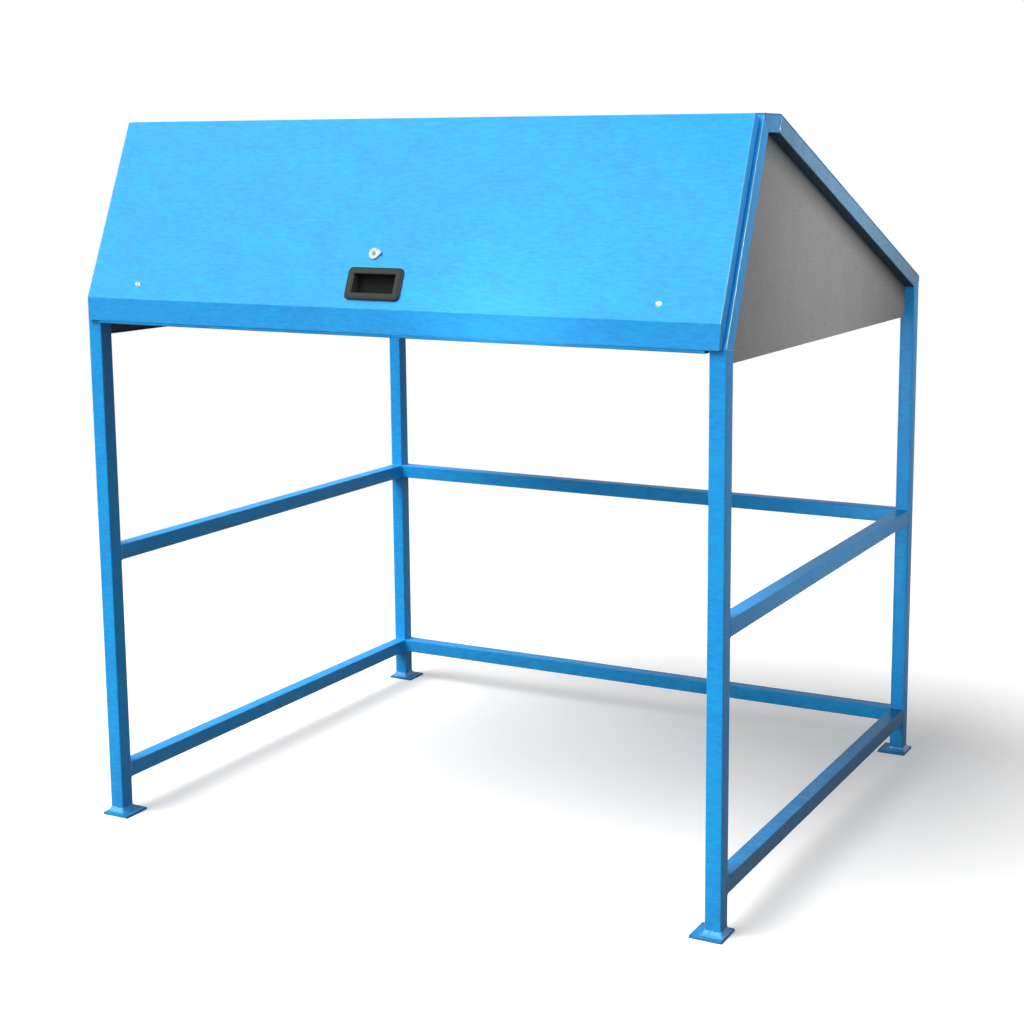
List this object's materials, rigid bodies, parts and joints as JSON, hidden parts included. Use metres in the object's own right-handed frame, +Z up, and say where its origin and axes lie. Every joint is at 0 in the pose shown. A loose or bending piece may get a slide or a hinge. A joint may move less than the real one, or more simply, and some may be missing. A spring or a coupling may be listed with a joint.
{
  "type": "bin shelter",
  "caption": "Blue steel shelter for a large wheeled waste container: open tube frame, sheet roof and gables, and a front hood that hinges up on two gas struts",
  "frame": {"origin": "centre of the footprint on the ground", "axes": "+Z up, the hood and open front face -Y, +X to the right seen from the front"},
  "size_m": [1.78, 1.47, 1.8215],
  "materials": {
    "blue_paint": "satin",
    "grey_panel": "satin",
    "zinc_steel": "satin",
    "bright_steel": "polished",
    "cast_zinc": "satin",
    "black_rubber": "matte",
    "black_plastic": "matte",
    "black_paint": "gloss"
  },
  "bodies": {
    "frame": {"front_left_foot": "blue_paint", "front_right_foot": "blue_paint", "rear_left_foot": "blue_paint", "rear_right_foot": "blue_paint", "front_left_post": "blue_paint", "front_right_post": "blue_paint", "rear_left_post": "blue_paint", "rear_right_post": "blue_paint", "left_front_rafter": "blue_paint", "right_front_rafter": "blue_paint", "left_ridge_bar": "blue_paint", "right_ridge_bar": "blue_paint", "left_rear_rafter": "blue_paint", "right_rear_rafter": "blue_paint", "left_middle_rail": "blue_paint", "right_middle_rail": "blue_paint", "left_bottom_rail": "blue_paint", "right_bottom_rail": "blue_paint", "rear_middle_rail": "blue_paint", "rear_bottom_rail": "blue_paint", "ridge_beam": "blue_paint", "roof_purlin": "blue_paint", "eaves_beam": "blue_paint", "left_gable_panel": "grey_panel", "right_gable_panel": "grey_panel", "roof_sheet": "blue_paint", "hinge_frame_leaf": "zinc_steel", "hinge_pin": "zinc_steel", "left_strut_anchor": "blue_paint", "right_strut_anchor": "blue_paint", "left_buffer": "black_rubber", "right_buffer": "black_rubber"},
    "hood": {"hinge_hood_leaf": "zinc_steel", "hood_panel": "blue_paint", "lip_stiffener": "blue_paint", "recessed_grip": "black_plastic", "lock_case": "cast_zinc", "lock_nut": "zinc_steel", "left_rod_guide": "zinc_steel", "right_rod_guide": "zinc_steel", "guide_screws": "bright_steel", "guide_nuts": "zinc_steel", "left_strut_bracket": "blue_paint", "right_strut_bracket": "blue_paint"},
    "lock_core": {"lock_plug": "bright_steel", "drive_plate": "zinc_steel", "drive_nut": "zinc_steel"},
    "left_rod": {"left_lock_rod": "zinc_steel"},
    "right_rod": {"right_lock_rod": "zinc_steel"},
    "cover": {"keyhole_cover": "bright_steel"},
    "left_piston": {"left_strut_rod": "bright_steel"},
    "right_piston": {"right_strut_rod": "bright_steel"},
    "left_cylinder": {"left_strut_tube": "black_paint"},
    "right_cylinder": {"right_strut_tube": "black_paint"}
  },
  "joints": [
    {"name": "hood_hinge", "type": "hinge", "parent": "frame", "child": "hood", "pos_m": [0, -0.5166, 1.8145], "axis": [-1, 0, 0], "range_deg": [0, 75]},
    {"name": "left_strut_swing", "type": "hinge", "parent": "frame", "child": "left_piston", "pos_m": [-0.822, -0.60693, 1.50754], "axis": [1, 0, 0], "range_deg": [0, 12.21]},
    {"name": "right_strut_swing", "type": "hinge", "parent": "frame", "child": "right_piston", "pos_m": [0.822, -0.60693, 1.50754], "axis": [1, 0, 0], "range_deg": [0, 12.21]},
    {"name": "left_strut_slide", "type": "slide", "parent": "left_piston", "child": "left_cylinder", "axis": [0, 0.2175, 0.9761], "range_m": [0, 0.09285]},
    {"name": "right_strut_slide", "type": "slide", "parent": "right_piston", "child": "right_cylinder", "axis": [0, 0.2175, 0.9761], "range_m": [0, 0.09285]},
    {"name": "lock_turn", "type": "hinge", "parent": "hood", "child": "lock_core", "pos_m": [-0.03, -0.67308, 1.50463], "axis": [0, 0.9239, -0.3826], "range_deg": [0, 90]},
    {"name": "left_rod_slide", "type": "slide", "parent": "hood", "child": "left_rod", "axis": [-0.9938, -0.0426, -0.1029], "range_m": [0, 0.03116]},
    {"name": "right_rod_slide", "type": "slide", "parent": "hood", "child": "right_rod", "axis": [0.9884, -0.0581, -0.1404], "range_m": [0, 0.03116]},
    {"name": "cover_swivel", "type": "hinge", "parent": "hood", "child": "cover", "pos_m": [-0.02385, -0.67329, 1.51459], "axis": [0, 0.9239, -0.3826], "range_deg": [0, 83.5]}
  ],
  "couplings": [
    {"joint": "left_strut_swing", "follows": "hood_hinge", "ratio": 0.16258},
    {"joint": "left_strut_slide", "follows": "hood_hinge", "m_per_rad": 0.070891},
    {"joint": "left_rod_slide", "follows": "lock_turn", "m_per_rad": 0.019807},
    {"joint": "right_strut_swing", "follows": "hood_hinge", "ratio": 0.16258},
    {"joint": "right_strut_slide", "follows": "hood_hinge", "m_per_rad": 0.070891},
    {"joint": "right_rod_slide", "follows": "lock_turn", "m_per_rad": 0.019807}
  ]
}
